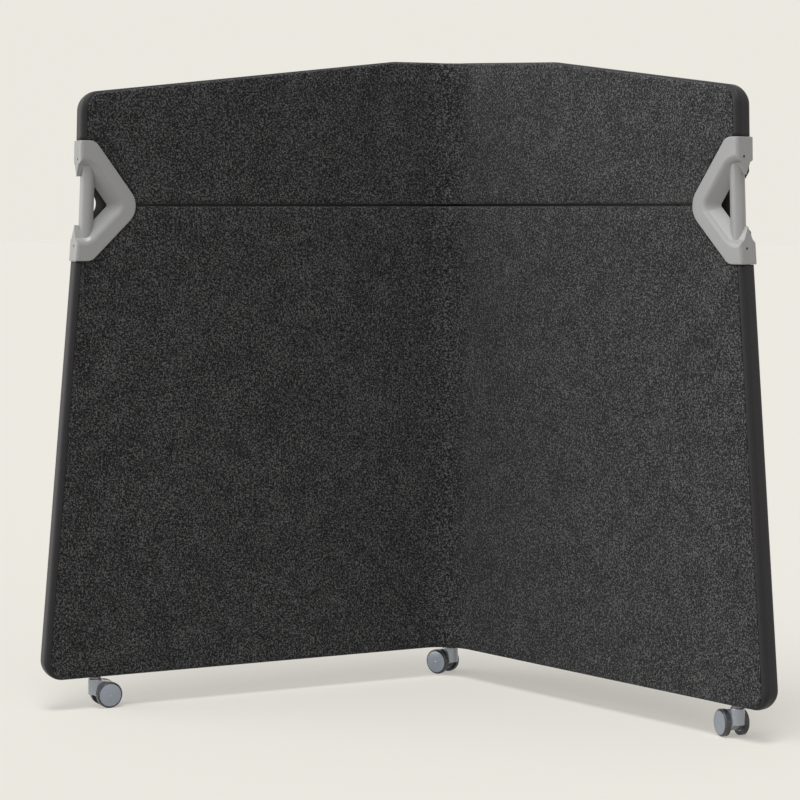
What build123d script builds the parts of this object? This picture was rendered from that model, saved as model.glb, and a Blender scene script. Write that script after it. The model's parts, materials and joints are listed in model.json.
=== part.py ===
from build123d import *
from math import asin, cos, radians, sin, sqrt, tan
import os

# A mobile acoustic screen, folded to a shallow V so that it stands by itself.
# Two padded wings turn about one upright post. A grip is let into the outer edge of
# each wing, and the screen rolls on three twin-wheel casters: one under each wing and
# one under the post. Millimetres, +Z up, origin on the floor under the middle of the
# bounding box, the hollow of the V towards -Y.
#
# A wing is drawn flat first: X runs out from the fold axis, Z is the height above the
# floor, and "forward" distances (towards -Y) count from the middle of its thickness.

# Fold and outline of the wings
FOLD_ANGLE = 104.0
WING_TURN = (180 - FOLD_ANGLE) / 2
BOTTOM_Z = 65.0
SEAM_Z = 1050.0
CREASE_Z = 1361.0
SHOULDER_DROP = 81.5
SHOULDER_Z = CREASE_Z - SHOULDER_DROP
SEAM_WIDTH = 867.0
BOTTOM_FLARE = 90.0
BOTTOM_WIDTH = SEAM_WIDTH + BOTTOM_FLARE
SHOULDER_TAPER = 7.0
SHOULDER_WIDTH = SEAM_WIDTH - SHOULDER_TAPER
PEAK_OUT = {"left": 146.0, "right": 333.0}
PEAK_DROP = {"left": 0.5, "right": 12.5}
CORNER_ROUND = 42.0
PEAK_ROUND = 110.0
FOLD_ROUND = 82.0

# Layers through the thickness
FRAME_DEPTH = 18.0
BAND_DEPTH = 40.0
PAD_DEPTH = 12.0
PAD_FACE = FRAME_DEPTH / 2 + PAD_DEPTH
BAND_WALL = 9.0
BAND_ROUND = 7.5
PAD_ROUND = 4.0
PAD_GAP = 0.3
SEAM_GAP = 4.5
SEAM_GROOVE = 8.0
RAIL_WIDTH = 24.0
STILE_START = 26.0
FOLD_START = (PAD_FACE + FOLD_ROUND) * tan(radians(WING_TURN))
OVERRUN = 60.0

# Post and hinges at the fold
POST_RADIUS = 10.0
POST_WALL = 2.0
POST_TOP_GAP = 16.0
KNUCKLE_RADIUS = 14.0
KNUCKLE_LENGTH = 32.0
KNUCKLE_GAP = 0.4
LEAF_THICKNESS = 3.0
LEAF_HEIGHT = 3 * KNUCKLE_LENGTH + 2 * KNUCKLE_GAP
HINGE_EDGE = 130.0
HINGE_COUNT = 3
RUNNING_GAP = 0.05
SPINE_GAP = 1.0

# Grips let into the outer edges. An "in" counts from the wing's side edge, a rise and a
# drop from the seam, and an inset from the rim of the moulding.
HANDLE_RISE = 132.5
HANDLE_DROP = 115.0
HANDLE_TOP_Z = SEAM_Z + HANDLE_RISE
HANDLE_BOTTOM_Z = SEAM_Z - HANDLE_DROP
HANDLE_APEX_IN = 134.0
HANDLE_APEX_DROP = 6.0
HANDLE_APEX_Z = SEAM_Z - HANDLE_APEX_DROP
HANDLE_TOP_IN = 29.0
HANDLE_BOTTOM_IN = 33.5
HANDLE_APEX_ROUND = 45.0
HANDLE_CORNER_ROUND = 24.0
HANDLE_PROUD = 3.0
HANDLE_FACE = PAD_FACE + HANDLE_PROUD
HANDLE_END_PROUD = 3.0
HANDLE_END_ROUND = 8.0
HANDLE_EDGE_ROUND = 2.0
HANDLE_RIM = 30.0
HANDLE_GAP = 0.3
MOUTH_RISE = 87.0
MOUTH_DROP = 77.0
MOUTH_TOP_Z = SEAM_Z + MOUTH_RISE
MOUTH_BOTTOM_Z = SEAM_Z - MOUTH_DROP
MOUTH_TIP_ROUND = 20.0
MOUTH_END_ROUND = 34.0
MOUTH_EDGE_ROUND = 14.0
WAIST_FORWARD = 12.0
WAIST_INSET = 11.0
WAIST_RISE = 84.0
WAIST_DROP = 67.0
WAIST_TIP_ROUND = 12.0
WAIST_END_ROUND = 30.0
THROAT_INSET = 22.0
THROAT_RISE = 59.0
THROAT_DROP = 41.0
THROAT_TIP_ROUND = 6.0
THROAT_END_ROUND = 20.0
GRIP_RADIUS = 15.0
GRIP_IN = 20.0
GRIP_OUT = SEAM_WIDTH - GRIP_IN
GRIP_TILT = 2.8
GRIP_SOCKET = 14.0
GRIP_GAP = 0.1
LINER_THICKNESS = 2.0
LINER_CLEAR = 1.0
LINER_GAP = 0.1
LINER_EDGE = 6.0
LINER_INSET = 3.0
LINER_RISE = 88.0
LINER_DROP = 74.0
LINER_HOLE_INSET = 30.0
LINER_HOLE_ROUND = 28.0
SCREW_RADIUS = 2.0
SCREW_HEAD_RADIUS = 4.0
SCREW_HEAD_DEPTH = 3.0
SCREW_RECESS = 1.0
SCREW_EDGE = 14.0
SCREW_GAP = 0.2
SET_SCREW_RADIUS = 2.5
SET_SCREW_FORWARD = 6.0

# Casters
WHEEL_RADIUS = 27.5
WHEEL_WIDTH = 12.5
HUB_RADIUS = 23.5
HUB_DOME = 1.5
TYRE_ROUND = 3.0
TYRE_INNER_RADIUS = 20.0
CASTER_TRAIL = 24.0
BODY_HALF = 14.5
BODY_RADIUS = 26.5
BODY_LOW_RADIUS = 17.0
WHEEL_GAP = 0.5
COLLAR_ROOM = 4.0
BODY_TOP_Z = BOTTOM_Z - COLLAR_ROOM
BODY_ROUND = 2.0
AXLE_RADIUS = 3.0
STEM_RADIUS = 5.0
STEM_FLOOR = 34.0
STEM_COLLAR_RADIUS = 12.0
COLLAR_GAP = 0.3
CASTER_IN = {"left": 118.0, "right": 96.0}
CASTER_HEADING = {"left": 39.0, "centre": 155.0, "right": 122.4}


def cross_z(first, second):
    """The upright part of the cross product of two flat directions."""
    return first.X * second.Y - first.Y * second.X


def moved_in(corners, distances):
    """Corners of a counter-clockwise outline once each side has moved in by its distance."""
    sides = []
    for here, there, distance in zip(corners, corners[1:] + corners[:1], distances):
        along = (Vector(*there) - Vector(*here)).normalized()
        inward = Vector(-along.Y, along.X)
        sides.append((Vector(*here) + inward * distance, along))
    moved = []
    for (before, along_before), (after, along_after) in zip(sides[-1:] + sides[:-1], sides):
        reach = cross_z(after - before, along_after) / cross_z(along_before, along_after)
        crossing = before + along_before * reach
        moved.append((crossing.X, crossing.Y))
    return moved


def rounded_face(corners, radii):
    """A flat face with one rounding per corner."""
    return make_face(FilletPolyline(*corners, radius=radii, close=True))


def plate(face, rear, front):
    """A flat face of the wing drawing as a plate between two forward distances."""
    return extrude(Plane.XZ.offset(rear) * face, amount=front - rear)


def wing_corners(side, inset, start):
    """The six corners of a wing's outline, moved in by a margin, from `start` outwards."""
    corners = [
        (0, BOTTOM_Z),
        (BOTTOM_WIDTH, BOTTOM_Z),
        (SEAM_WIDTH, SEAM_Z),
        (SHOULDER_WIDTH, SHOULDER_Z),
        (PEAK_OUT[side], CREASE_Z - PEAK_DROP[side]),
        (0, CREASE_Z),
    ]
    return moved_in(corners, [inset, inset, inset, inset, inset, start])


def wing_face(side, inset, start):
    """A wing's rounded outline, moved in by a margin."""
    corner = CORNER_ROUND - inset
    radii = [0, corner, 0, corner, PEAK_ROUND - inset, 0]
    return rounded_face(wing_corners(side, inset, start), radii)


def side_at(height, proud):
    """How far out the wing's upper side edge lies at a height, plus a margin."""
    slope = (SEAM_WIDTH - SHOULDER_WIDTH) / (SHOULDER_Z - SEAM_Z)
    if height < SEAM_Z:
        slope = (BOTTOM_WIDTH - SEAM_WIDTH) / (SEAM_Z - BOTTOM_Z)
    return SEAM_WIDTH - slope * (height - SEAM_Z) + proud


def handle_corners(margin, reach):
    """The grip moulding's outline, moved out by a margin, open side at `reach` past the edge."""
    corners = [
        (side_at(HANDLE_APEX_Z, -HANDLE_APEX_IN), HANDLE_APEX_Z),
        (side_at(HANDLE_BOTTOM_Z, -HANDLE_BOTTOM_IN), HANDLE_BOTTOM_Z),
        (side_at(HANDLE_BOTTOM_Z, reach), HANDLE_BOTTOM_Z),
        (side_at(SEAM_Z, reach), SEAM_Z),
        (side_at(HANDLE_TOP_Z, reach), HANDLE_TOP_Z),
        (side_at(HANDLE_TOP_Z, -HANDLE_TOP_IN), HANDLE_TOP_Z),
    ]
    return moved_in(corners, [-margin, -margin, 0, 0, -margin, -margin])


def handle_face(margin, reach):
    """The grip moulding's rounded outline."""
    apex = HANDLE_APEX_ROUND + margin
    corner = HANDLE_CORNER_ROUND + margin
    return rounded_face(handle_corners(margin, reach), [apex, corner, 0, 0, 0, corner])


def handle_notch():
    """The cut-out that a grip fills, through the whole wing."""
    return plate(handle_face(HANDLE_GAP, OVERRUN), -OVERRUN, OVERRUN)


def opening_face(inset, rise, drop, tip_round, end_round):
    """The hand opening at one depth: the moulding's slanted arms set in, open outwards."""
    top, bottom = SEAM_Z + rise, SEAM_Z - drop
    arms = handle_corners(-HANDLE_RIM - inset, OVERRUN)
    apex = Vector(*arms[0])
    low_arm = (Vector(*arms[1]) - apex).normalized()
    high_arm = (Vector(*arms[5]) - apex).normalized()
    low = apex + low_arm * ((bottom - apex.Y) / low_arm.Y)
    high = apex + high_arm * ((top - apex.Y) / high_arm.Y)
    past_edge = BOTTOM_WIDTH + OVERRUN
    corners = [(apex.X, apex.Y), (low.X, bottom), (past_edge, bottom), (past_edge, top), (high.X, top)]
    return rounded_face(corners, [tip_round, end_round, 0, 0, end_round])


def hand_opening():
    """The front half of the funnel through a grip: narrow at the middle, wide at the face."""
    throat = opening_face(THROAT_INSET, THROAT_RISE, THROAT_DROP, THROAT_TIP_ROUND, THROAT_END_ROUND)
    waist = opening_face(WAIST_INSET, WAIST_RISE, WAIST_DROP, WAIST_TIP_ROUND, WAIST_END_ROUND)
    mouth = opening_face(0, MOUTH_RISE, MOUTH_DROP, MOUTH_TIP_ROUND, MOUTH_END_ROUND)
    depths = (0, WAIST_FORWARD, HANDLE_FACE)
    sections = [Plane.XZ.offset(depth) * face for depth, face in zip(depths, (throat, waist, mouth))]
    return loft([section.face() for section in sections], ruled=True)


def front_edges(shape):
    """The edges of a front moulding that lie in its face."""
    return shape.edges().filter_by(lambda edge: edge.center().Y < GRIP_GAP - HANDLE_FACE)


def within_rim(edge, reach):
    """Whether an edge lies inside the middle line of the moulding's rim."""
    rim = handle_face(-HANDLE_RIM / 2, reach)
    return rim.is_inside(Vector(edge.center().X, edge.center().Z))


def softened_block():
    """A long block with the hand opening, whose mouth has a soft rounded edge."""
    block = plate(handle_face(0, OVERRUN), 0, HANDLE_FACE) - hand_opening()
    mouth = front_edges(block).filter_by(lambda edge: within_rim(edge, 2 * OVERRUN)
                                         and abs(edge.center().Z - SEAM_Z) < MOUTH_RISE + HANDLE_EDGE_ROUND)
    return fillet(mouth, MOUTH_EDGE_ROUND)


def grip_shape(radius, from_z, to_z):
    """A round bar along the tilted grip axis between two heights."""
    length = (to_z - from_z) / cos(radians(GRIP_TILT))
    bar = Cylinder(radius, length, align=(Align.CENTER, Align.CENTER, Align.MIN))
    out = GRIP_OUT + (SEAM_Z - from_z) * tan(radians(GRIP_TILT))
    return Pos(out, 0, from_z) * Rot(0, -GRIP_TILT, 0) * bar


def grip_bar():
    """The round bar, held in a socket at each end of the opening."""
    return grip_shape(GRIP_RADIUS, MOUTH_BOTTOM_Z - GRIP_SOCKET, MOUTH_TOP_Z + GRIP_SOCKET)


def liner_seat(gap):
    """The flat space behind the throat that the dark liner fills, plus a gap."""
    rise, drop = LINER_RISE + gap, LINER_DROP + gap
    around = opening_face(LINER_INSET - gap, rise, drop, MOUTH_TIP_ROUND, MOUTH_END_ROUND)
    outline = around & handle_face(0, gap - LINER_EDGE)
    front = -GRIP_RADIUS - LINER_CLEAR
    return plate(outline, front - LINER_THICKNESS - gap, front + gap)


def grip_liner():
    """A thin dark sheet behind the throat, its edge drawn back from the bar to leave finger room."""
    hole = opening_face(LINER_HOLE_INSET, HANDLE_RISE, HANDLE_DROP, LINER_HOLE_ROUND, MOUTH_END_ROUND)
    return liner_seat(0) - plate(hole, -OVERRUN, OVERRUN)


def screw_places():
    """Where the cover screws stand: one in each end block and one at the apex."""
    return [
        (GRIP_OUT, HANDLE_TOP_Z - SCREW_EDGE),
        (GRIP_OUT, HANDLE_BOTTOM_Z + SCREW_EDGE),
        (side_at(HANDLE_APEX_Z, HANDLE_RIM - HANDLE_APEX_IN), HANDLE_APEX_Z),
    ]


def cover_screw(x, z, gap):
    """A pan-head screw through both grip covers, put in from the back."""
    head_back = -HANDLE_FACE + SCREW_RECESS - gap
    head_front = -HANDLE_FACE + SCREW_RECESS + SCREW_HEAD_DEPTH
    tip = HANDLE_FACE / 2 + gap
    head = plate(Pos(x, z) * Circle(SCREW_HEAD_RADIUS + gap), head_back, head_front)
    shank = plate(Pos(x, z) * Circle(SCREW_RADIUS + gap), head_front, tip)
    return head + shank


def set_screw(height, gap, overrun):
    """A short screw in the front cover's end face, bearing on the grip bar."""
    end = side_at(height, HANDLE_END_PROUD) - SCREW_RECESS + overrun
    bar_radius = GRIP_RADIUS + GRIP_GAP + SCREW_GAP
    bar = GRIP_OUT + (SEAM_Z - height) * tan(radians(GRIP_TILT))
    start = bar + sqrt(bar_radius ** 2 - (SET_SCREW_FORWARD - SET_SCREW_RADIUS) ** 2)
    pin = Cylinder(SET_SCREW_RADIUS + gap, end - start, align=(Align.CENTER, Align.CENTER, Align.MIN))
    return Pos(start, -SET_SCREW_FORWARD, height) * Rot(0, 90, 0) * pin


def set_screw_heights():
    """The set screws stand level with the middle of each socket."""
    half = GRIP_SOCKET / 2
    return [MOUTH_BOTTOM_Z - half, MOUTH_TOP_Z + half]


def handle_half():
    """The front half of the grip moulding, before its screws."""
    half = plate(handle_face(0, HANDLE_END_PROUD), 0, HANDLE_FACE)
    upright = front_edges(half).filter_by(lambda edge: edge.center().X > side_at(edge.center().Z, 0)
                                          and HANDLE_BOTTOM_Z < edge.center().Z < HANDLE_TOP_Z)
    half = fillet(upright, HANDLE_END_ROUND) & softened_block()
    outer = front_edges(half).filter_by(lambda edge: not within_rim(edge, OVERRUN))
    half = fillet(outer, HANDLE_EDGE_ROUND)
    socket_from = MOUTH_BOTTOM_Z - GRIP_SOCKET - GRIP_GAP
    socket_to = MOUTH_TOP_Z + GRIP_SOCKET + GRIP_GAP
    return half - grip_shape(GRIP_RADIUS + GRIP_GAP, socket_from, socket_to)


def screw_holes():
    """Everything that the screws need cut out of the two covers."""
    holes = [set_screw(height, SCREW_GAP, OVERRUN) for height in set_screw_heights()]
    for x, z in screw_places():
        mouth = Pos(x, z) * Circle(SCREW_HEAD_RADIUS + SCREW_GAP)
        holes.append(cover_screw(x, z, SCREW_GAP) + plate(mouth, -OVERRUN, SCREW_RECESS - HANDLE_FACE))
    return holes


def handle_nodes(side):
    """The front and back covers of a grip, its dark liner, its bar and its screws."""
    front = handle_half()
    screws = [cover_screw(x, z, 0).solid() for x, z in screw_places()]
    screws += [set_screw(height, 0, 0).solid() for height in set_screw_heights()]
    return {
        f"{side}_handle_front": front - screw_holes(),
        f"{side}_handle_back": mirror(front, about=Plane.XZ) - screw_holes() - liner_seat(LINER_GAP),
        f"{side}_grip_liner": grip_liner(),
        f"{side}_grip_bar": grip_bar(),
        f"{side}_handle_screws": Compound(screws),
    }


def stem_hole(side):
    """The upright hole for a caster's stem in the bottom of a wing."""
    hole = Cylinder(STEM_RADIUS + RUNNING_GAP, BOTTOM_Z + OVERRUN + RAIL_WIDTH)
    return Pos(BOTTOM_WIDTH - CASTER_IN[side], 0, BOTTOM_Z) * hole


def frame_nodes(side):
    """Five flat bars round the wing, one across it at the seam, and the board between them."""
    notch = handle_notch()
    outer = wing_corners(side, BAND_WALL, STILE_START)
    inner = wing_corners(side, BAND_WALL + RAIL_WIDTH, STILE_START + RAIL_WIDTH)
    limits = plate(wing_face(side, BAND_WALL, STILE_START), -FRAME_DEPTH / 2, FRAME_DEPTH / 2)

    def bar(*corners):
        face = make_face(Polyline(*corners, close=True))
        return (plate(face, -FRAME_DEPTH / 2, FRAME_DEPTH / 2) & limits) - notch

    stile_out = inner[0][0]
    bottom_start = (stile_out, outer[0][1])
    top_start = moved_in(wing_corners(side, BAND_WALL, 0), [0, 0, 0, 0, 0, stile_out])[5]
    core_face = wing_face(side, BAND_WALL + RAIL_WIDTH, STILE_START + RAIL_WIDTH)
    low_rail, high_rail = SEAM_Z - RAIL_WIDTH / 2, SEAM_Z + RAIL_WIDTH / 2
    rail_end = side_at(SEAM_Z, 0)
    mid_face = make_face(Polyline((stile_out, low_rail), (rail_end, low_rail),
                                  (rail_end, high_rail), (stile_out, high_rail), close=True))
    mid_rail = plate(mid_face, -FRAME_DEPTH / 2, FRAME_DEPTH / 2) - notch
    core = plate(core_face, -FRAME_DEPTH / 2, FRAME_DEPTH / 2) - notch - mid_rail
    end_stiles = [bar(outer[1], outer[2], inner[2], inner[1]).solid(),
                  bar(outer[2], outer[3], inner[3], inner[2]).solid()]
    return {
        f"{side}_hinge_stile": bar(outer[0], bottom_start, top_start, outer[5]),
        f"{side}_bottom_rail": bar(bottom_start, outer[1], inner[1], inner[0]) - stem_hole(side),
        f"{side}_end_stiles": Compound(end_stiles),
        f"{side}_top_rail": bar(outer[3], outer[4], top_start, inner[5], inner[4], inner[3]),
        f"{side}_mid_rail": mid_rail,
        f"{side}_acoustic_core": core,
    }


def band_nodes(side):
    """The smooth edge band, a soft channel round the wing, cut in two by the grip."""
    body = plate(wing_face(side, 0, FOLD_START), -BAND_DEPTH / 2, BAND_DEPTH / 2)
    for face in (body.faces().sort_by(Axis.Y)[0], body.faces().sort_by(Axis.Y)[-1]):
        rim = face.edges().sort_by(Axis.X)[1:]
        body = fillet([edge for edge in body.edges() if any(edge.is_same(one) for one in rim)], BAND_ROUND)
    tongue = plate(wing_face(side, 0, STILE_START), -FRAME_DEPTH / 2, FRAME_DEPTH / 2)
    inside = plate(wing_face(side, BAND_WALL, 0), -OVERRUN, OVERRUN)
    band = (body + tongue) - inside - handle_notch() - stem_hole(side)
    lower, upper = band.solids().sort_by(Axis.Z)
    return {f"{side}_lower_band": lower, f"{side}_upper_band": upper}


def pad_nodes(side):
    """Four padded covers: front and back, above and below the seam."""
    face = wing_face(side, BAND_WALL + PAD_GAP, FOLD_START)
    sheet = plate(face, FRAME_DEPTH / 2, PAD_FACE) - handle_notch()
    middle = SEAM_Z - SEAM_GAP / 2
    nodes = {}
    for level, keep in (("lower", Keep.BOTTOM), ("upper", Keep.TOP)):
        height = middle if level == "lower" else middle + SEAM_GAP
        pad = split(sheet, bisect_by=Plane.XY.offset(height), keep=keep)
        rim = pad.faces().sort_by(Axis.Y)[0].edges().sort_by(Axis.X)[1:]
        pad = fillet(rim, PAD_ROUND)
        nodes[f"{side}_{level}_front_pad"] = pad
        nodes[f"{side}_{level}_back_pad"] = mirror(pad, about=Plane.XZ)
    return nodes


def hinge_heights():
    """Middle heights of the hinges, evenly spaced along the post."""
    low = BOTTOM_Z + HINGE_EDGE
    step = (CREASE_Z - HINGE_EDGE - low) / (HINGE_COUNT - 1)
    return [low + step * index for index in range(HINGE_COUNT)]


def knuckle(middle):
    """One barrel round the post with the web that joins it to the leaf."""
    barrel = Cylinder(KNUCKLE_RADIUS, KNUCKLE_LENGTH)
    reach = STILE_START - LEAF_THICKNESS
    web = Pos(reach / 2, 0, 0) * Box(reach, LEAF_THICKNESS, KNUCKLE_LENGTH)
    bore = Cylinder(POST_RADIUS + RUNNING_GAP, KNUCKLE_LENGTH + OVERRUN)
    return Pos(0, 0, middle) * ((barrel + web) - bore)


def hinge_leaves(side):
    """The leaves of one wing: two barrels each on the left wing and one on the right."""
    step = KNUCKLE_LENGTH + KNUCKLE_GAP
    levels = [-step, step] if side == "left" else [0]
    leaf_x = STILE_START - LEAF_THICKNESS / 2
    leaves = []
    for height in hinge_heights():
        leaf = Pos(leaf_x, 0, height) * Box(LEAF_THICKNESS, FRAME_DEPTH, LEAF_HEIGHT)
        for level in levels:
            leaf += knuckle(height + level)
        leaves.append(leaf.solid())
    return Compound(leaves)


def centre_post():
    """The tube that both wings turn on. The middle caster's stem goes into its foot."""
    length = CREASE_Z - POST_TOP_GAP - BOTTOM_Z
    tube = Cylinder(POST_RADIUS, length, align=(Align.CENTER, Align.CENTER, Align.MIN))
    bore_radius = POST_RADIUS - POST_WALL
    bore = Cylinder(bore_radius, length + OVERRUN)
    foot = Cylinder(bore_radius, RAIL_WIDTH + BAND_WALL, align=(Align.CENTER, Align.CENTER, Align.MIN))
    hole = Cylinder(STEM_RADIUS + RUNNING_GAP, length)
    return Pos(0, 0, BOTTOM_Z) * ((tube - bore) + (foot - hole))


def spine_outline(pad_from):
    """The soft fold in plan, from the given distance forward of each wing's middle plane."""
    turn = radians(WING_TURN)

    def at(out, forward, sign):
        x = out * cos(turn) - forward * sin(turn)
        y = -out * sin(turn) - forward * cos(turn)
        return (sign * x, y)

    right_face, left_face = at(FOLD_START, PAD_FACE, 1), at(FOLD_START, PAD_FACE, -1)
    middle = (0, -(PAD_FACE + FOLD_ROUND) / cos(turn) + FOLD_ROUND)
    crease = (0, -pad_from / cos(turn))
    arc = ThreePointArc(left_face, middle, right_face)
    right_rear, left_rear = at(FOLD_START, pad_from, 1), at(FOLD_START, pad_from, -1)
    back = Polyline(right_face, right_rear, crease, left_rear, left_face)
    return make_face(arc + back)


def hinge_room():
    """The round space that the hinge barrels need inside the soft covers."""
    bottom = (Align.CENTER, Align.CENTER, Align.MIN)
    return Cylinder(KNUCKLE_RADIUS + SPINE_GAP, CREASE_Z + OVERRUN, align=bottom)


def spine_front():
    """The padded cover that bends softly through the fold on the hollow side."""
    height = CREASE_Z - BOTTOM_Z
    pad = extrude(Pos(0, 0, BOTTOM_Z) * spine_outline(FRAME_DEPTH / 2), amount=height) - hinge_room()
    centre_y = -(PAD_FACE + FOLD_ROUND) / cos(radians(WING_TURN))
    groove = Pos(0, centre_y, SEAM_Z) * Cylinder(FOLD_ROUND + SEAM_GROOVE, SEAM_GAP)
    return pad - groove


def spine_back():
    """The cover round the back of the fold, coaxial with the post so that it stays round."""
    reach = Vector(FOLD_START, 0).rotate(Axis.Z, -WING_TURN)
    rear = Vector(0, PAD_FACE).rotate(Axis.Z, -WING_TURN)
    inner = Vector(0, FRAME_DEPTH / 2).rotate(Axis.Z, -WING_TURN)
    seat = Vector(0, FRAME_DEPTH / 2 / cos(radians(WING_TURN)))
    outer_arc = ThreePointArc((-rear.X, rear.Y), (0, PAD_FACE), (rear.X, rear.Y))
    right = Polyline((rear.X, rear.Y), tuple(reach + rear)[:2], tuple(reach + inner)[:2], (0, seat.Y))
    left = Polyline((0, seat.Y), (-(reach + inner).X, (reach + inner).Y),
                    (-(reach + rear).X, (reach + rear).Y), (-rear.X, rear.Y))
    face = make_face(outer_arc + right + left)
    cover = extrude(Pos(0, 0, BOTTOM_Z) * face, amount=CREASE_Z - BOTTOM_Z)
    return cover - hinge_room()


def caster_stem(top):
    """The steel stem, with the collar that the wing's weight rests on."""
    pin = Cylinder(STEM_RADIUS, top - STEM_FLOOR, align=(Align.CENTER, Align.CENTER, Align.MIN))
    collar_height = BOTTOM_Z - BODY_TOP_Z - 2 * COLLAR_GAP
    collar = Cylinder(STEM_COLLAR_RADIUS, collar_height, align=(Align.CENTER, Align.CENTER, Align.MIN))
    return Pos(0, 0, STEM_FLOOR) * pin + Pos(0, 0, BODY_TOP_Z + COLLAR_GAP) * collar


def caster_body():
    """The swivelling housing: an upright barrel on the stem and a half drum between the wheels."""
    axle = (CASTER_TRAIL, WHEEL_RADIUS)
    drum = Pos(*axle) * Circle(BODY_RADIUS)
    lower_half = Pos(CASTER_TRAIL, 0) * Rectangle(2 * WHEEL_RADIUS, 2 * (WHEEL_RADIUS - AXLE_RADIUS))
    profile = (drum - lower_half) + Pos(*axle) * Circle(BODY_LOW_RADIUS)
    drum_body = extrude(Plane.XZ * profile, amount=BODY_HALF, both=True)
    barrel_height = BODY_TOP_Z - WHEEL_RADIUS
    barrel = Cylinder(BODY_HALF, barrel_height, align=(Align.CENTER, Align.CENTER, Align.MIN))
    barrel = fillet(barrel.edges().sort_by(Axis.Z)[-1], BODY_ROUND)
    shoulder_face = make_face(Polyline((0, WHEEL_RADIUS), (CASTER_TRAIL, WHEEL_RADIUS),
                                       (CASTER_TRAIL, WHEEL_RADIUS + BODY_RADIUS),
                                       (0, BODY_TOP_Z - BODY_ROUND), close=True))
    shoulder = extrude(Plane.XZ * shoulder_face, amount=BODY_HALF, both=True)
    body = drum_body + Pos(0, 0, WHEEL_RADIUS) * barrel + shoulder
    body -= Pos(0, 0, STEM_FLOOR - COLLAR_GAP) * Cylinder(
        STEM_RADIUS + RUNNING_GAP, BODY_TOP_Z, align=(Align.CENTER, Align.CENTER, Align.MIN))
    return body - axle_shape(AXLE_RADIUS + RUNNING_GAP, WHEEL_RADIUS)


def axle_shape(radius, half_length):
    """A round bar across the caster at the wheels' centre."""
    bar = Cylinder(radius, 2 * half_length)
    return Pos(CASTER_TRAIL, 0, WHEEL_RADIUS) * Rot(90, 0, 0) * bar


def axle_half():
    """The axle ends inside the blind bore of each hub."""
    return BODY_HALF + WHEEL_WIDTH - HUB_DOME


def wheel_nodes(name, sign):
    """One tyre with the domed disc that carries it."""
    near = BODY_HALF + WHEEL_GAP
    far = BODY_HALF + WHEEL_WIDTH
    centre = Pos(CASTER_TRAIL, 0, WHEEL_RADIUS) * Rot(90 * sign, 0, 0)
    bore = AXLE_RADIUS + RUNNING_GAP
    cap_floor = axle_half() + COLLAR_GAP
    sphere = (HUB_RADIUS ** 2 + HUB_DOME ** 2) / (2 * HUB_DOME)
    half = asin(HUB_RADIUS / sphere) / 2
    middle = (sphere * sin(half), far + HUB_DOME - sphere * (1 - cos(half)))
    dome = ThreePointArc((HUB_RADIUS, far), middle, (0, far + HUB_DOME))
    rest = Polyline((0, far + HUB_DOME), (0, cap_floor), (bore, cap_floor), (bore, near),
                    (TYRE_INNER_RADIUS, near), (HUB_RADIUS, far - HUB_DOME), (HUB_RADIUS, far))
    hub = revolve(Plane.XZ * make_face(dome + rest), Axis.Z)
    ring = Polyline((TYRE_INNER_RADIUS, near), (WHEEL_RADIUS, near), (WHEEL_RADIUS, far - TYRE_ROUND))
    shoulder = RadiusArc((WHEEL_RADIUS, far - TYRE_ROUND), (WHEEL_RADIUS - TYRE_ROUND, far), TYRE_ROUND)
    seat = Polyline((WHEEL_RADIUS - TYRE_ROUND, far), (HUB_RADIUS, far), (HUB_RADIUS, far - HUB_DOME),
                    (TYRE_INNER_RADIUS, near))
    tyre = revolve(Plane.XZ * make_face(ring + shoulder + seat), Axis.Z)
    return {name.format("hub"): centre * hub, name.format("tyre"): centre * tyre}


def caster_nodes(side, stem_top):
    """A twin-wheel swivel caster about its own stem, heading along +X."""
    nodes = {
        f"{side}_caster_stem": caster_stem(stem_top),
        f"{side}_caster_body": caster_body(),
        f"{side}_caster_axle": axle_shape(AXLE_RADIUS, axle_half()),
    }
    for number, sign in ((1, 1), (2, -1)):
        nodes.update(wheel_nodes(f"{side}_caster_{{}}_{number}", sign))
    turn = Rot(0, 0, CASTER_HEADING[side])
    return {name: turn * shape for name, shape in nodes.items()}


def in_place(shape, side):
    """A flat-drawn shape of one wing, turned about the fold axis to its standing place."""
    turned = Rot(0, 0, -WING_TURN) * shape
    return turned if side == "right" else mirror(turned, about=Plane.YZ)


def caster_place(side):
    """Where a caster's stem stands, seen from the fold axis."""
    if side == "centre":
        return Vector(0, 0)
    place = Vector(BOTTOM_WIDTH - CASTER_IN[side], 0).rotate(Axis.Z, -WING_TURN)
    return place if side == "right" else Vector(-place.X, place.Y)


def screen():
    """Every piece of the screen by name, about the fold axis."""
    nodes = {}
    for side in ("left", "right"):
        flat = {**frame_nodes(side), **band_nodes(side), **pad_nodes(side), **handle_nodes(side)}
        flat[f"{side}_hinge_leaves"] = hinge_leaves(side)
        nodes.update({name: in_place(shape, side) for name, shape in flat.items()})
    nodes["centre_post"] = centre_post()
    nodes["spine_front_pad"] = spine_front()
    nodes["spine_back_pad"] = spine_back()
    stem_top = BOTTOM_Z + BAND_WALL + RAIL_WIDTH
    for side in ("left", "centre", "right"):
        place = caster_place(side)
        for name, shape in caster_nodes(side, stem_top).items():
            nodes[name] = Pos(place.X, place.Y, 0) * shape
    return nodes


def main():
    """Write every piece, with the origin under the middle of the bounding box."""
    nodes = screen()
    boxes = [shape.bounding_box() for shape in nodes.values()]
    lows, highs = [box.min for box in boxes], [box.max for box in boxes]
    low = Vector(min(at.X for at in lows), min(at.Y for at in lows), min(at.Z for at in lows))
    high = Vector(max(at.X for at in highs), max(at.Y for at in highs), max(at.Z for at in highs))
    axis = -(low + high) / 2
    os.makedirs("parts", exist_ok=True)
    for name, shape in nodes.items():
        export_step(Pos(axis.X, axis.Y, -low.Z) * shape, f"parts/{name}.step")
    print("fold axis at", axis.X, axis.Y, "size", high - low)


main()
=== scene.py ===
import json
from math import radians

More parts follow.
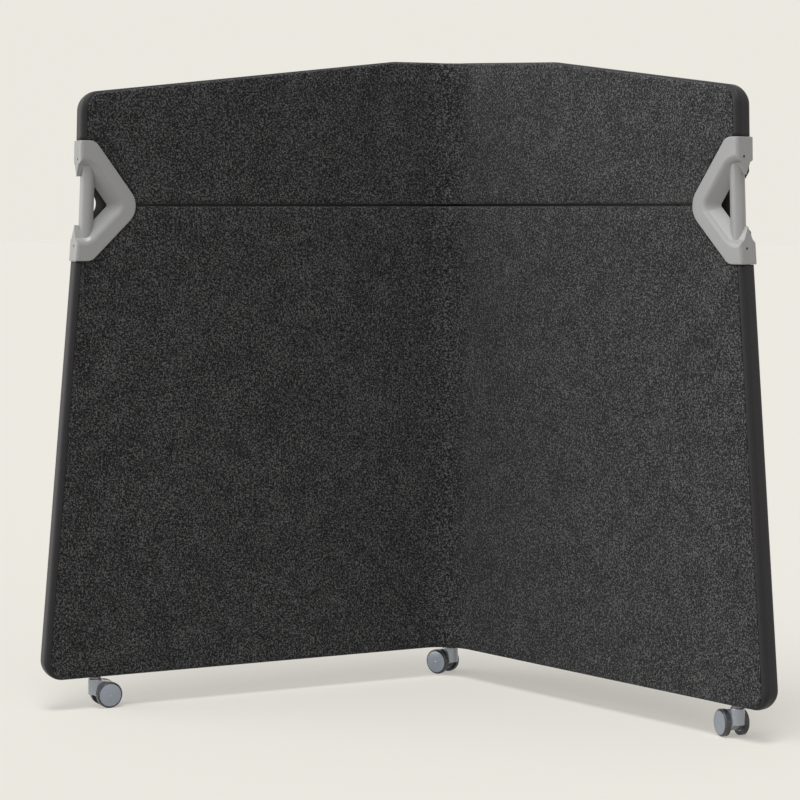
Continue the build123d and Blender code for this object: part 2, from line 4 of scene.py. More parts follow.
import bmesh
import bpy
import numpy as np
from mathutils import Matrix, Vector


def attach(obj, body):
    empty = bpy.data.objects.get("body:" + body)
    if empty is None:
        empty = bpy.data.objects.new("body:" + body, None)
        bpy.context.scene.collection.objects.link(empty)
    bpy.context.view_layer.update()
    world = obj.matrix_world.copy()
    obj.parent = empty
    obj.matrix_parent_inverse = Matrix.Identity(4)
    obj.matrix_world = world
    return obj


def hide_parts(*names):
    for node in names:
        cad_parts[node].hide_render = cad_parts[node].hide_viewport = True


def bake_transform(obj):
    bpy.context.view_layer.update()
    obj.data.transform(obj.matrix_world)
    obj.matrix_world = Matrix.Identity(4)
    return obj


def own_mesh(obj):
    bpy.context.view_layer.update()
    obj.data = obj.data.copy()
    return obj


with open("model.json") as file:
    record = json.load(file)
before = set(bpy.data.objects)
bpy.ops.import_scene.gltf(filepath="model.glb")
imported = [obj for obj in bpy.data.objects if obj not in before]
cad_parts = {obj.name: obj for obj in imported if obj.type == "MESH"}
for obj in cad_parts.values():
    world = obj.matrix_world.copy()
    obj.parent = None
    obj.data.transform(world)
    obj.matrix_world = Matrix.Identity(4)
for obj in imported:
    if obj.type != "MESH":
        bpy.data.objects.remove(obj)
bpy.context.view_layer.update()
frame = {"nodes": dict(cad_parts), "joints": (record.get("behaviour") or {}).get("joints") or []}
nodes = frame["nodes"]


# Steel frame
# Six flat bars in each wing are welded into one frame and powder coated near black.
# It stays hidden between the front and back covers.

TONE_START, TONE_END = 0.3, 0.7
GLOSS_SPREAD, GLOSS_GRAIN = 0.06, 9


def finish(name, colour, roughness, **sockets):
    """A material with one principled shader. Its constants sit on the shader's own sockets."""
    material = bpy.data.materials.new(name)
    material.use_nodes = True
    shader = material.node_tree.nodes["Principled BSDF"]
    shader.inputs["Base Color"].default_value = (*colour, 1)
    shader.inputs["Roughness"].default_value = roughness
    for socket, value in sockets.items():
        shader.inputs[socket.replace("_", " ")].default_value = value
    return material


def add_node(material, kind, inputs, **settings):
    """One shader node, with its settings, and a value or a link for each named input."""
    tree = material.node_tree
    node = tree.nodes.new(kind)
    for setting, value in settings.items():
        setattr(node, setting, value)
    for socket, value in inputs.items():
        if isinstance(value, bpy.types.NodeSocket):
            tree.links.new(value, node.inputs[socket])
        else:
            node.inputs[socket].default_value = value
    return node


def place_on(material, stretch=(1, 1, 1)):
    """Object coordinates in metres, stretched along each axis."""
    where = add_node(material, "ShaderNodeTexCoord", {})
    mapping = add_node(material, "ShaderNodeMapping", {"Vector": where.outputs["Object"], "Scale": stretch})
    return mapping.outputs["Vector"]


def grain(material, size, detail=2.0, stretch=(1, 1, 1), roughness=0.5):
    """Smooth noise whose blobs are about as large as the given size in metres."""
    where = place_on(material, stretch)
    noise = add_node(material, "ShaderNodeTexNoise",
                     {"Vector": where, "Scale": 1 / size, "Detail": detail, "Roughness": roughness})
    return noise.outputs["Fac"]


def colour_between(material, factor, stops):
    """Colours spread over a factor: a list of places and colours, blended in a straight line."""
    ramp = add_node(material, "ShaderNodeValToRGB", {"Fac": factor})
    elements = ramp.color_ramp.elements
    while len(elements) < len(stops):
        elements.new(1)
    for element, (place, colour) in zip(elements, stops):
        element.position = place
        element.color = (*colour, 1)
    return ramp.outputs["Color"]


def colour_shader(material, colour):
    """Lets a colour that varies over the surface reach the shader."""
    shader = material.node_tree.nodes["Principled BSDF"]
    material.node_tree.links.new(colour, shader.inputs["Base Color"])


def two_tone(material, factor, dark, light):
    """A base colour that runs from dark to light over the middle part of a factor."""
    colour_shader(material, colour_between(material, factor, [(TONE_START, dark), (TONE_END, light)]))


def raise_surface(material, height, depth, strength=1.0):
    """A small relief: the height, from nought to one, is the given depth in metres."""
    bump = add_node(material, "ShaderNodeBump", {"Height": height, "Distance": depth, "Strength": strength})
    shader = material.node_tree.nodes["Principled BSDF"]
    material.node_tree.links.new(bump.outputs["Normal"], shader.inputs["Normal"])


def vary_roughness(material, factor, low, high):
    """Roughness that runs between two values with a factor."""
    spread = add_node(material, "ShaderNodeMapRange", {"Value": factor, "To Min": low, "To Max": high})
    shader = material.node_tree.nodes["Principled BSDF"]
    material.node_tree.links.new(spread.outputs["Result"], shader.inputs["Roughness"])


def dress(material, *endings):
    """Gives the construction pieces whose names end in these words their finish."""
    for name, node in nodes.items():
        if name.endswith(endings):
            node.data.materials.clear()
            node.data.materials.append(material)


def mottled(name, dark, light, size, depth, roughness, **sockets):
    """A finish whose colour, gloss and surface vary a little with one grain."""
    material = finish(name, light, roughness, **sockets)
    speckle = grain(material, size)
    two_tone(material, speckle, dark, light)
    broad = grain(material, size * GLOSS_GRAIN)
    vary_roughness(material, broad, roughness - GLOSS_SPREAD, roughness + GLOSS_SPREAD)
    raise_surface(material, speckle, depth)
    return material


powder_coat = mottled("powder coat", (0.006, 0.006, 0.007), (0.012, 0.012, 0.013), 0.0012, 0.0001, 0.55)
dress(powder_coat, "stile", "stiles", "rail")


# Acoustic core
# Two pressed fibre boards lie inside each frame, one above and one below the middle
# rail. They soak up the sound and stay hidden.

pressed_fibre = mottled("pressed fibre", (0.10, 0.10, 0.10), (0.22, 0.22, 0.21), 0.003, 0.0006, 0.95)
dress(pressed_fibre, "acoustic_core")


# Post and hinge leaves
# The wings turn on one upright zinc-plated tube. Steel leaves with rolled knuckles hold
# it at three heights, hidden inside the soft fold.

LINE_WIDTH, LINE_DEPTH, LINE_GLOSS = 0.0008, 0.00004, 0.08


def drawn_metal(name, dark, light, along, roughness):
    """Bright metal with fine lines along one axis from drawing or rolling."""
    material = finish(name, light, roughness, Metallic=1.0)
    lines = grain(material, LINE_WIDTH, stretch=along, detail=3.0)
    two_tone(material, lines, dark, light)
    vary_roughness(material, lines, roughness - LINE_GLOSS, roughness + LINE_GLOSS)
    raise_surface(material, lines, LINE_DEPTH)
    return material


zinc = drawn_metal("zinc plate", (0.42, 0.43, 0.44), (0.58, 0.58, 0.57), (1, 1, 0.03), 0.38)
dress(zinc, "centre_post", "hinge_leaves")


# Padded covers
# Foam under a melange wool fabric, four covers in all: front and back, above and below
# the seam. Each runs unbroken across both wings and is bent round the fold.

WINGS = ("left", "right")
FOLD = next(joint for joint in frame["joints"] if joint["name"] == "fold")
AXIS_Y = FOLD["pos_m"][1]
WING_TURN = radians(38)
BOTTOM_Z, SEAM_Z, CREASE_Z, SHOULDER_Z = 0.065, 1.050, 1.361, 1.2795
BOTTOM_WIDTH, SEAM_WIDTH, SHOULDER_WIDTH = 0.957, 0.867, 0.860
PEAK_OUT = {"left": 0.146, "right": 0.333}
PEAK_Z = {"left": CREASE_Z - 0.0005, "right": CREASE_Z - 0.0125}
CORNER_ROUND, COVER_CORNER, PEAK_ROUND = 0.042, 0.038, 0.110
RIM_INSET, SIDE_INSET = 0.0015, 0.0125
SEAM_GAP = 0.0045
COVER_BACK, COVER_FACE = 0.0128, 0.021
COVER_ROUND, SIDE_ROUND, SIDE_REACH = 0.0055, 0.002, 0.04
EDGE_SINK, EDGE_SINK_REACH = 0.0009, 0.020
NOTCH_APEX = (0.7338, 1.044)
NOTCH_TOP, NOTCH_BOTTOM = (0.8340, 1.1825), (0.8440, 0.935)
NOTCH_GAP, NOTCH_ROUND, NOTCH_APEX_ROUND = 0.0005, 0.0245, 0.0455
BEND_REACH = 0.045
BEND_ROUNDS = 60
WAVES = ((23, 7, 0), (-11, 31, 1.3), (47, 39, 0.4))
WAVE_HEIGHT, CALM_EDGE, CALM_FOLD = 0.0003, 0.03, 0.04
SAME_PLACE, NO_LENGTH = 1e-6, 1e-12


def side_at(height):
    """How far out the side of a wing lies: two straight lines that meet at the seam's height."""
    below = (BOTTOM_WIDTH - SEAM_WIDTH) / (SEAM_Z - BOTTOM_Z)
    above = (SEAM_WIDTH - SHOULDER_WIDTH) / (SHOULDER_Z - SEAM_Z)
    return SEAM_WIDTH - np.where(height < SEAM_Z, below, above) * (height - SEAM_Z)


def rounded_line(corners, radii, steps=14):
    """An open line with rounded corners. A corner's arc starts the radius times the tangent of
    half the turn before it, and its centre lies on the inner side of the turn."""
    corners = [np.array(corner, float) for corner in corners]
    line = [corners[0][None]]
    for before, corner, after, radius in zip(corners, corners[1:], corners[2:], radii):
        come = (corner - before) / np.linalg.norm(corner - before)
        go = (after - corner) / np.linalg.norm(after - corner)
        turn = np.arctan2(come[0] * go[1] - come[1] * go[0], come @ go)
        inward = np.sign(turn) * np.array([-come[1], come[0]])
        start = corner - come * radius * np.tan(abs(turn) / 2)
        centre = start + inward * radius
        angles = np.linspace(0, abs(turn), steps)[:, None]
        line.append(centre - radius * inward * np.cos(angles) + radius * come * np.sin(angles))
    return np.concatenate([*line, corners[-1][None]])


def folded(out, behind, up):
    """The flat screen's points in their standing place. Each turns about the fold axis by the
    wing turn times a share from -1 on the left wing to 1 on the right. Between the wings the share
    is a smooth step of where the point ends up, so it is found by repeating."""
    share = np.sign(out)
    for _ in range(BEND_ROUNDS):
        angle = WING_TURN * share
        across = out * np.cos(angle) + behind * np.sin(angle)
        step = np.clip((across + BEND_REACH) / (2 * BEND_REACH), 0, 1)
        share = 2 * step * step * (3 - 2 * step) - 1
    angle = WING_TURN * share
    across = out * np.cos(angle) + behind * np.sin(angle)
    along = AXIS_Y - out * np.sin(angle) + behind * np.cos(angle)
    return np.stack([across, along, up + 0 * across], axis=-1)


def notch_line():
    """The cut-out for a grip, from its lower outer corner round the inner tip to its upper one."""
    low, high = NOTCH_BOTTOM[1] - NOTCH_GAP, NOTCH_TOP[1] + NOTCH_GAP
    corners = [(side_at(NOTCH_BOTTOM[1]), low), (NOTCH_BOTTOM[0], low),
               (NOTCH_APEX[0] - NOTCH_GAP, NOTCH_APEX[1]),
               (NOTCH_TOP[0], high), (side_at(NOTCH_TOP[1]), high)]
    return rounded_line(corners, [NOTCH_ROUND, NOTCH_APEX_ROUND, NOTCH_ROUND])


def seam_to_notch(seam, facing):
    """The edge along the seam from the fold to the grip, and on round the grip's upper or lower half."""
    line = notch_line() if facing > 0 else notch_line()[::-1]
    beyond = line[(line[:, 1] - seam) * facing > 0]
    meet = np.interp(seam * facing, line[:, 1] * facing, line[:, 0])
    return np.concatenate([[(0, seam), (meet, seam)], beyond])


def upper_edges(side):
    """The lower and upper edge of the cover above the seam, from the fold outwards."""
    low = seam_to_notch(SEAM_Z + SEAM_GAP / 2, 1)
    corners = [(0, CREASE_Z - RIM_INSET), (PEAK_OUT[side], PEAK_Z[side] - RIM_INSET),
               (SHOULDER_WIDTH - SIDE_INSET, SHOULDER_Z - RIM_INSET), (SEAM_WIDTH - SIDE_INSET, SEAM_Z)]
    high = rounded_line(corners, [PEAK_ROUND - RIM_INSET, COVER_CORNER])
    return low, high[:-1]


def lower_edges(side):
    """The lower and upper edge of the cover below the seam, from the fold outwards."""
    low = rounded_line([(0, BOTTOM_Z + RIM_INSET), (BOTTOM_WIDTH - SIDE_INSET, BOTTOM_Z + RIM_INSET),
                        (SEAM_WIDTH - SIDE_INSET, SEAM_Z)], [COVER_CORNER])
    return low[:-1], seam_to_notch(SEAM_Z - SEAM_GAP / 2, -1)


RIM_STEPS = np.array([0, 0.25, 0.8, 1.6, 2.6, 3.8, 5.4, 8, 12, 18]) / 1000
FOLD_STEP, FIELD_STEP, FOLD_FIELD = 0.004, 0.011, 0.096
TIP_START, TIP_END, TIP_STEP = 0.738, 0.778, 0.0025


def spread_columns(width):
    """Distances out from the fold: close together in the fold, at the grip's tip and at the side."""
    fold = np.arange(0, FOLD_FIELD, FOLD_STEP)
    field = np.arange(FOLD_FIELD, TIP_START, FIELD_STEP)
    tip = np.arange(TIP_START, TIP_END, TIP_STEP)
    end = np.arange(TIP_END, width - RIM_STEPS[-1], FIELD_STEP)
    return np.concatenate([fold, field, tip, end, width - RIM_STEPS[::-1]])


def spread_rows(low, high):
    """Heights between two edges: close together at both, evenly spread between."""
    count = int((high - low).max() / FIELD_STEP)
    shares = np.linspace(0, 1, count)[1:-1, None]
    start, end = low + RIM_STEPS[-1], high - RIM_STEPS[-1]
    middle = start + (end - start) * shares
    return np.concatenate([low + RIM_STEPS[:, None], middle, high - RIM_STEPS[::-1, None]])


def edge_height(line, share):
    """An edge's height where it is crossed by the column with this share of the side's distance."""
    return np.interp(share, line[:, 0] / (side_at(line[:, 1]) - SIDE_INSET), line[:, 1])


def wing_grid(side, edges):
    """Distances out and heights over one wing's cover. A column keeps its share of the side's
    distance at every height, and a row its place between the lower and upper edge."""
    low, high = edges(side)
    width = SEAM_WIDTH - SIDE_INSET
    share = spread_columns(width) / width
    up = spread_rows(edge_height(low, share)[None], edge_height(high, share)[None])
    return share * (side_at(up) - SIDE_INSET), up


def edge_distance(out, up):
    """The least distance of every grid point from the grid's own outline, by its segments."""
    across = np.stack([out, up], axis=-1)
    ring = np.concatenate([across[0, :-1], across[:-1, -1], across[-1, :0:-1], across[:0:-1, 0]])
    start, along = ring, np.roll(ring, -1, axis=0) - ring
    length = np.maximum((along ** 2).sum(-1), NO_LENGTH)
    nearest = np.empty(out.shape)
    for row, points in enumerate(across):
        offset = points[:, None] - start
        share = np.clip((offset * along).sum(-1) / length, 0, 1)
        nearest[row] = np.linalg.norm(offset - along * share[..., None], axis=-1).min(1)
    return nearest


def soft_wave(out, up):
    """A slow, shallow unevenness of stretched fabric over foam: the mean of three crossing sine
    waves, each with its radians per metre outwards and upwards and its start."""
    waves = [np.sin(out * outwards + up * upwards + start) for outwards, upwards, start in WAVES]
    return sum(waves) / len(WAVES)


def grid_faces(rows, columns, first=0):
    """Four-sided faces of a grid whose points are numbered row by row."""
    index = first + np.arange(rows * columns).reshape(rows, columns)
    return np.stack([index[:-1, :-1], index[:-1, 1:], index[1:, 1:], index[1:, :-1]], axis=-1).reshape(-1, 4)


def closed_form(outer, inner):
    """Points and faces between two grids of one layout: both grids and the rim between them."""
    rows, columns = outer.shape[:2]
    count = rows * columns
    index = np.arange(count).reshape(rows, columns)
    rim = np.concatenate([index[0, :-1], index[:-1, -1], index[-1, :0:-1], index[:0:-1, 0]])
    ahead = np.roll(rim, -1)
    sides = np.stack([rim, rim + count, ahead + count, ahead], axis=-1)
    faces = np.concatenate([grid_faces(rows, columns), grid_faces(rows, columns, count), sides])
    return np.concatenate([outer.reshape(-1, 3), inner.reshape(-1, 3)]), faces


def new_piece(name, points, faces, material):
    """A piece from points and faces, its doubles merged and its faces turned outwards."""
    mesh = bpy.data.meshes.new(name)
    mesh.from_pydata(points.tolist(), [], [list(face) for face in faces])
    shape = bmesh.new()
    shape.from_mesh(mesh)
    bmesh.ops.remove_doubles(shape, verts=shape.verts, dist=SAME_PLACE)
    bmesh.ops.recalc_face_normals(shape, faces=shape.faces)
    shape.to_mesh(mesh)
    shape.free()
    mesh.shade_smooth()
    piece = bpy.data.objects.new(name, mesh)
    bpy.context.scene.collection.objects.link(piece)
    mesh.materials.append(material)
    return piece


def across_fold(piece):
    """Fixes a piece's place into its points. Its bend between the two wings is already in the points, where
    they were folded.
    """
    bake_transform(piece)


def cover(name, edges, facing, material):
    """A padded cover across both wings. Its height over the frame falls off at the outline as a
    quarter circle, smaller at the sides than elsewhere, sinks a little towards it, and is slightly
    uneven in between."""
    left_out, left_up = wing_grid("left", edges)
    right_out, right_up = wing_grid("right", edges)
    rows = max(len(left_up), len(right_up))
    place = np.linspace(0, 1, rows)

    def even(grid):
        """The grid brought to the number of rows that both wings share."""
        old = np.linspace(0, 1, len(grid))
        return np.stack([np.interp(place, old, column) for column in grid.T], axis=1)

    out = np.concatenate([-even(left_out)[:, :0:-1], even(right_out)], axis=1)
    up = np.concatenate([even(left_up)[:, :0:-1], even(right_up)], axis=1)
    near = edge_distance(out, up)
    inside = np.clip((side_at(up) - SIDE_INSET - abs(out)) / SIDE_REACH, 0, 1)
    bend = SIDE_ROUND + (COVER_ROUND - SIDE_ROUND) * inside
    rim = np.clip(1 - near / bend, 0, 1)
    height = COVER_FACE - bend * (1 - np.sqrt(1 - rim ** 2)) - EDGE_SINK * np.exp(-near / EDGE_SINK_REACH)
    calm = np.clip(near / CALM_EDGE, 0, 1) * np.clip((abs(out) - FOLD_FIELD) / CALM_FOLD, 0, 1)
    height = height + WAVE_HEIGHT * soft_wave(out, up) * calm
    outer, inner = folded(out, facing * height, up), folded(out, facing * COVER_BACK + 0 * out, up)
    return new_piece(name, *closed_form(outer, inner), material)


FLECK_SIZE, CLOUD_SIZE, CLOUD_SHARE = 0.0032, 0.05, 0.08
FELT_SIZE, FELT_DEPTH, FELT_STRENGTH = 0.0022, 0.0009, 0.7
DARK_YARN, MIDDLE_YARN, PALE_YARN = (0.005, 0.005, 0.0055), (0.0185, 0.0195, 0.020), (0.134, 0.136, 0.137)
YARN_TONES = [(0.41, DARK_YARN), (0.50, MIDDLE_YARN), (0.61, PALE_YARN)]


def melange(name):
    """Wool melange: dark yarn with pale flecks a few millimetres long, over a fine felted surface."""
    material = finish(name, (0.045, 0.045, 0.046), 0.95,
                      Sheen_Weight=0.12, Sheen_Roughness=0.6, Specular_IOR_Level=0.15)
    fleck = grain(material, FLECK_SIZE, detail=3.0, roughness=0.6)
    cloud = grain(material, CLOUD_SIZE, detail=2.0)
    slow = add_node(material, "ShaderNodeMath", {0: cloud, 1: CLOUD_SHARE}, operation="MULTIPLY")
    mixed = add_node(material, "ShaderNodeMath", {0: fleck, 1: 1 - CLOUD_SHARE, 2: slow.outputs[0]},
                     operation="MULTIPLY_ADD")
    colour_shader(material, colour_between(material, mixed.outputs[0], YARN_TONES))
    raise_surface(material, grain(material, FELT_SIZE, detail=3.0), FELT_DEPTH, FELT_STRENGTH)
    return material


wool = melange("charcoal melange wool")
for level, edges in (("lower", lower_edges), ("upper", upper_edges)):
    for face, facing in (("front", -1), ("back", 1)):
        piece = cover(f"{level}_{face}_cover", edges, facing, wool)
        across_fold(piece)
        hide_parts(f"left_{level}_{face}_pad", f"right_{level}_{face}_pad")
        if face == "back" and level == "lower":
            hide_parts("spine_back_pad")


# Seam lining
# A strip of the same dark knit as the edge band lies behind the seam, front and back, so
# that the groove between the covers has a bottom, also through the fold.

LINING_FACE, LINING_THICK = 0.0105, 0.001
LINING_HALF, LINING_END = 0.011, 0.700
LINING_ROWS, LINING_COLUMNS = 5, 40
KNIT_MOTTLE, KNIT_STITCH, KNIT_DEPTH = 0.004, 0.0009, 0.00025


def knit(name):
    """A plain dark knit: a fine grain, softly mottled, with a slight gloss."""
    material = finish(name, (0.023, 0.022, 0.024), 0.5,
                      Specular_IOR_Level=0.22, Sheen_Weight=0.12, Sheen_Roughness=0.35)
    mottle = grain(material, KNIT_MOTTLE, detail=3.0)
    two_tone(material, mottle, (0.019, 0.018, 0.020), (0.027, 0.0255, 0.028))
    vary_roughness(material, mottle, 0.40, 0.54)
    raise_surface(material, grain(material, KNIT_STITCH, detail=1.0), KNIT_DEPTH, 0.5)
    return material


def lining(name, facing, material):
    """A thin flat strip along the seam, folded with the screen."""
    field = np.linspace(FOLD_FIELD, LINING_END, LINING_COLUMNS)
    half = np.concatenate([np.arange(0, FOLD_FIELD, FOLD_STEP), field])
    out = np.concatenate([-half[:0:-1], half])[None] + np.zeros((LINING_ROWS, 1))
    up = SEAM_Z + np.linspace(-LINING_HALF, LINING_HALF, LINING_ROWS)[:, None] + 0 * out
    outer = folded(out, facing * LINING_FACE + 0 * out, up)
    inner = folded(out, facing * (LINING_FACE - LINING_THICK) + 0 * out, up)
    return new_piece(name, *closed_form(outer, inner), material)


tape = knit("dark knit tape")
for face, facing in (("front", -1), ("back", 1)):
    piece = lining(f"seam_lining_{face}", facing, tape)
    across_fold(piece)


# Fold pad
# A soft roll of the same fabric fills the inner corner of the fold and gives it a wide
# round bend. It is sewn to the left wing.

FOLD_ROUND = 0.082
FOLD_SINK = 0.00008
FOLD_COLUMNS = 61
FOLD_BACK_SHARE = 0.6


def fold_pad(name, edges, material):
    """A closed roll: in plan an arc tangent to both wings' faces with its back drawn in towards
    the axis, and at the top and bottom the edges and the quarter-circle rim of the covers."""
    centre_y = AXIS_Y - (COVER_FACE + FOLD_ROUND) / np.cos(WING_TURN)
    turn = np.linspace(-WING_TURN, WING_TURN, FOLD_COLUMNS)
    start = (COVER_FACE + FOLD_ROUND) * np.tan(WING_TURN)
    share = abs(turn) / WING_TURN * start / (SEAM_WIDTH - SIDE_INSET)
    low, high = (np.where(turn < 0, edge_height(left, share), edge_height(right, share))
                 for left, right in zip(edges("left"), edges("right")))
    up = spread_rows(low[None], high[None])
    near = np.minimum(up - low, high - up)
    rim = np.clip(1 - near / COVER_ROUND, 0, 1)
    sunk = COVER_ROUND * (1 - np.sqrt(1 - rim ** 2)) + EDGE_SINK * np.exp(-near / EDGE_SINK_REACH)
    radius = FOLD_ROUND + sunk + FOLD_SINK
    across, along = radius * np.sin(turn), centre_y + radius * np.cos(turn)
    outer = np.stack([across, along, up + 0 * across], axis=-1)
    axis_point = np.array([0, AXIS_Y, 0])
    inner = axis_point + (outer - axis_point) * np.array([FOLD_BACK_SHARE, FOLD_BACK_SHARE, 1])
    return new_piece(name, *closed_form(outer, inner), material)


for level, edges in (("lower", lower_edges), ("upper", upper_edges)):
    piece = fold_pad(f"{level}_fold_pad", edges, wool)
    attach(piece, "left_wing")
    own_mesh(piece)
    if level == "lower":
        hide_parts("spine_front_pad")


# Edge band
# A smooth dark knit tape wraps the rim of the screen between the front and back covers,
# in two lengths that end at the grips. It is bent round the fold as the covers are.

BAND_HALF, BAND_HALF_UNDER = 0.020, 0.0124
BAND_WALL, BAND_LIP, BAND_LIP_BACK = 0.009, 0.0121, 0.013
BAND_ROUND, BAND_LIP_ROUND = 0.010, 0.001
BAND_CROWN = 0.0008
ARC_STEPS, FACE_STEPS = 9, 7
PATH_STEP = 0.008
FULL_CLIMB = radians(75)


def band_section():
    """The tape's section as depths into the screen and distances behind its middle: a channel with
    widely rounded outer edges, a slightly crowned face and a lip along the covers on each side."""
    half = [(BAND_WALL, 0), (BAND_WALL, BAND_LIP_BACK), (BAND_LIP, BAND_LIP_BACK), (BAND_LIP, BAND_HALF),
            (0, BAND_HALF)]
    corners = half + [(depth, -behind) for depth, behind in half[::-1]]
    rounds = [BAND_LIP_ROUND, BAND_LIP_ROUND, BAND_LIP_ROUND, BAND_ROUND]
    line = rounded_line(corners, rounds + rounds[::-1], ARC_STEPS)[:-1]
    face = np.linspace(BAND_HALF - BAND_ROUND, BAND_ROUND - BAND_HALF, FACE_STEPS)[1:-1]
    split = 1 + len(rounds) * ARC_STEPS
    line = np.concatenate([line[:split], np.stack([0 * face, face], axis=1), line[split:]])
    crown = BAND_CROWN * np.clip(1 - (line[:, 1] / BAND_HALF) ** 2, 0, 1)
    line[:, 0] -= np.where(line[:, 0] < BAND_WALL / 2, crown, 0)
    return line


def resampled(line, step):
    """A line with points no further apart than a step, keeping its own points."""
    parts = []
    for here, there in zip(line, line[1:]):
        count = max(1, int(np.ceil(np.linalg.norm(there - here) / step)))
        parts.append(here + (there - here) * np.linspace(0, 1, count, endpoint=False)[:, None])
    return np.concatenate([*parts, line[-1:]])


def band(name, outline, material):
    """The section carried along the screen's outline. At each point of the path it stands square
    to the mean direction of the two stretches that meet there. It is full where the path climbs,
    and thinner where the path runs level, because the covers lie over it there."""
    path = resampled(outline, PATH_STEP)
    along = np.gradient(path, axis=0)
    along /= np.linalg.norm(along, axis=1, keepdims=True)
    inward = np.stack([along[:, 1], -along[:, 0]], axis=1)
    section = band_section()
    flat = path[:, None] + inward[:, None] * section[None, :, :1]
    climb = np.clip(abs(along[:, 1:]) / np.sin(FULL_CLIMB), 0, 1)
    full = BAND_HALF_UNDER / BAND_HALF + (1 - BAND_HALF_UNDER / BAND_HALF) * climb ** 2
    points = folded(flat[..., 0], section[None, :, 1] * full, flat[..., 1])
    rows, columns = points.shape[:2]
    index = np.arange(rows * columns).reshape(rows, columns)
    index = np.concatenate([index, index[:, :1]], axis=1)
    skin = np.stack([index[:-1, :-1], index[:-1, 1:], index[1:, 1:], index[1:, :-1]], axis=-1)
    caps = [list(index[0, :-1]), list(index[-1, :-1])]
    return new_piece(name, points.reshape(-1, 3), [*skin.reshape(-1, 4).tolist(), *caps], material)


def mirrored(corners):
    """The same corners on the left wing, in reverse order."""
    return [(-out, up) for out, up in corners[::-1]]


def upper_outline():
    """The outline above the grips, from the left one over the top to the right one."""
    start = NOTCH_TOP[1] + NOTCH_GAP
    outer = [(SHOULDER_WIDTH, SHOULDER_Z), (float(side_at(start)), start)]
    left, right = ([(PEAK_OUT[side], PEAK_Z[side]), *outer] for side in WINGS)
    radii = [CORNER_ROUND, PEAK_ROUND, PEAK_ROUND, PEAK_ROUND, CORNER_ROUND]
    return rounded_line([*mirrored(left), (0, CREASE_Z), *right], radii)


def lower_outline():
    """The outline below the grips, from the right one under the screen to the left one."""
    start = NOTCH_BOTTOM[1] - NOTCH_GAP
    right = [(float(side_at(start)), start), (BOTTOM_WIDTH, BOTTOM_Z)]
    return rounded_line([*right, *mirrored(right)], [CORNER_ROUND, CORNER_ROUND])


for level, outline in (("upper", upper_outline()), ("lower", lower_outline())):
    piece = band(f"{level}_edge_band", outline, tape)
    across_fold(piece)
    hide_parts(f"left_{level}_band", f"right_{level}_band")


# Grips
# Each grip is two light grey mouldings screwed together through the wing, front and
# back, with a round bar held between their ends for the hand. A near-black sheet lies
# behind its throat as painted shade, standing in for the deep shade inside the grip.

moulded = mottled("moulded light grey", (0.345, 0.345, 0.345), (0.37, 0.37, 0.37), 0.0007, 0.00002, 0.3)
# Painted shade: the sheet behind each throat is near black, for the deep shade in the grip's recess.
painted_shade_sheet = mottled("dark sheet painted as throat shade", (0.030, 0.030, 0.031), (0.045, 0.045, 0.046), 0.0008, 0.00005, 0.6)
black_oxide = mottled("black oxide screws", (0.012, 0.012, 0.014), (0.03, 0.03, 0.034), 0.0006, 0.00005, 0.4,
                      Metallic=0.8)
dress(moulded, "handle_front", "handle_back", "grip_bar")
dress(painted_shade_sheet, "grip_liner")
dress(black_oxide, "handle_screws")


# Casters
# Twin wheels on one axle with a swivelling housing between them, held by a steel stem
# under the rail. The hub discs are domed satin plastic with a thin soft tread round them.

satin_grey = mottled("satin caster grey", (0.34, 0.365, 0.405), (0.37, 0.395, 0.435), 0.004, 0.000004, 0.22,
                     Metallic=0.6)
hub_grey = mottled("satin hub grey", (0.315, 0.355, 0.415), (0.33, 0.37, 0.43), 0.004, 0.000004, 0.24,
                   Metallic=0.45)
tread = mottled("dark soft tread", (0.05, 0.053, 0.06), (0.065, 0.068, 0.076), 0.002, 0.00001, 0.27)
stem_steel = drawn_metal("stem steel", (0.16, 0.16, 0.17), (0.26, 0.26, 0.27), (1, 1, 0.05), 0.4)
dress(satin_grey, "caster_body")
dress(hub_grey, "caster_hub_1", "caster_hub_2")
dress(tread, "caster_tyre_1", "caster_tyre_2")
dress(stem_steel, "caster_stem", "caster_axle")


# Studio
# A plain pale floor and a sky of the same colour, a broad soft key light from the left, a
# weak fill from the right, a light from above that leans to the front, and the camera
# where the photograph was taken from.

PALE = (0.836, 0.811, 0.751)
SKY = 0.27
FLOOR_GLOW = 0.42
FLOOR_HALF, PAPER_ROUGHNESS = 60, 0.9


def seen_directly(tree):
    """One for a ray that comes from the eye, a reflection or through glass, and nought for light."""
    path = tree.nodes.new("ShaderNodeLightPath")
    factor = path.outputs["Is Camera Ray"]
    for ray in ("Is Glossy Ray", "Is Transmission Ray"):
        either = tree.nodes.new("ShaderNodeMath")
        either.operation = "MAXIMUM"
        tree.links.new(factor, either.inputs[0])
        tree.links.new(path.outputs[ray], either.inputs[1])
        factor = either.outputs[0]
    return factor


def glowing_paper():
    """The background's colour, partly lit and partly glowing where it is seen directly, so that
    the object's shadow stays light."""
    lit = 1 - FLOOR_GLOW
    material = finish("pale floor", [part * lit for part in PALE], PAPER_ROUGHNESS, Specular_IOR_Level=0.0)
    tree = material.node_tree
    shader = tree.nodes["Principled BSDF"]
    shader.inputs["Emission Color"].default_value = (*PALE, 1)
    glow = add_node(material, "ShaderNodeMath", {0: seen_directly(tree), 1: FLOOR_GLOW}, operation="MULTIPLY")
    tree.links.new(glow.outputs[0], shader.inputs["Emission Strength"])
    return material


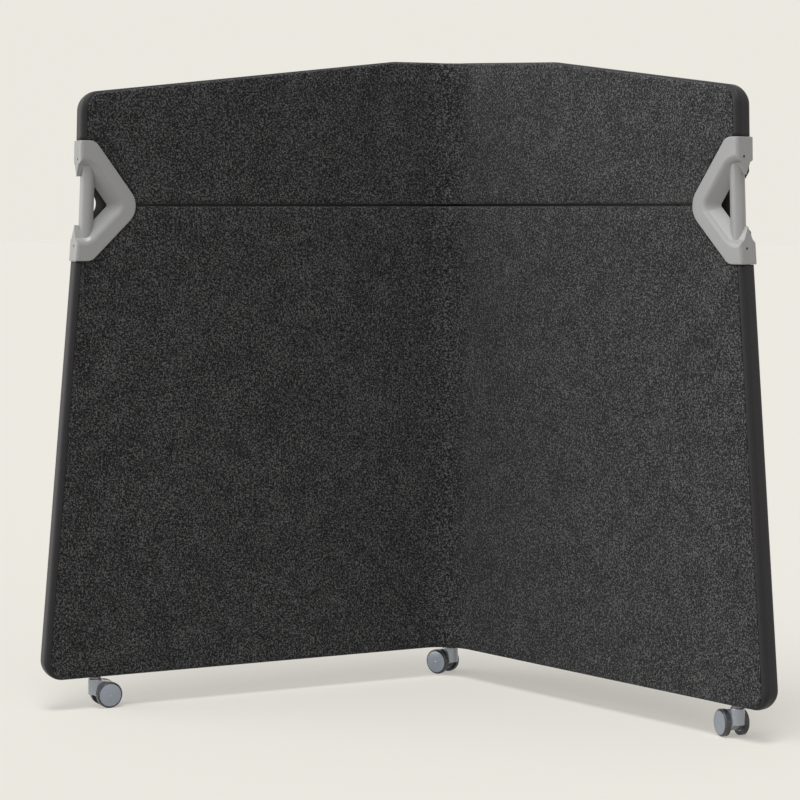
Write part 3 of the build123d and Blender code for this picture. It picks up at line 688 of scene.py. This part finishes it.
def pale_floor():
    """A wide level sheet under the screen."""
    corners = [(-FLOOR_HALF, -FLOOR_HALF, 0), (FLOOR_HALF, -FLOOR_HALF, 0),
               (FLOOR_HALF, FLOOR_HALF, 0), (-FLOOR_HALF, FLOOR_HALF, 0)]
    mesh = bpy.data.meshes.new("floor")
    mesh.from_pydata(corners, [], [(0, 1, 2, 3)])
    floor = bpy.data.objects.new("floor", mesh)
    bpy.context.scene.collection.objects.link(floor)
    mesh.materials.append(glowing_paper())


def pale_sky():
    """Every ray that shows the surroundings sees the pale colour, and the light is a weaker white."""
    world = bpy.data.worlds.new("studio")
    bpy.context.scene.world = world
    world.use_nodes = True
    tree = world.node_tree
    lit = tree.nodes["Background"]
    lit.inputs["Color"].default_value = (1, 1, 1, 1)
    lit.inputs["Strength"].default_value = SKY
    seen = tree.nodes.new("ShaderNodeBackground")
    seen.inputs["Color"].default_value = (*PALE, 1)
    mix = tree.nodes.new("ShaderNodeMixShader")
    tree.links.new(seen_directly(tree), mix.inputs["Fac"])
    tree.links.new(lit.outputs[0], mix.inputs[1])
    tree.links.new(seen.outputs[0], mix.inputs[2])
    tree.links.new(mix.outputs[0], tree.nodes["World Output"].inputs["Surface"])


def far_light(name, towards, strength, spread):
    """A distant lamp from a direction: strength 1 lights a white surface that faces it to white."""
    lamp = bpy.data.lights.new(name, "SUN")
    lamp.energy = strength * np.pi
    lamp.angle = radians(spread)
    light = bpy.data.objects.new(name, lamp)
    light.rotation_mode = "QUATERNION"
    light.rotation_quaternion = Vector(towards).to_track_quat("Z", "Y")
    bpy.context.scene.collection.objects.link(light)


CAMERA_AT = Vector((1.021, -4.9923, 1.049))
CAMERA_TURN, CAMERA_DIP = radians(12.2005), radians(4.6027)
CAMERA_LENS, SENSOR = 108.634, 36.0


def camera():
    """The photograph's view: a little to the right of the screen, turned left and dipped."""
    lens = bpy.data.cameras.new("camera")
    lens.lens = CAMERA_LENS
    lens.sensor_width = SENSOR
    view = bpy.data.objects.new("camera", lens)
    view.location = CAMERA_AT
    view.rotation_euler = (radians(90) - CAMERA_DIP, 0, CAMERA_TURN)
    bpy.context.scene.collection.objects.link(view)
    bpy.context.scene.camera = view


pale_floor()
pale_sky()
far_light("key", (-0.90, -0.30, 0.31), 0.72, 70)
far_light("fill", (0.45, -0.85, 0.40), 0.12, 70)
far_light("top", (0.03, -0.28, 1.0), 0.478, 22)
camera()
bpy.context.scene.view_settings.view_transform = "Standard"
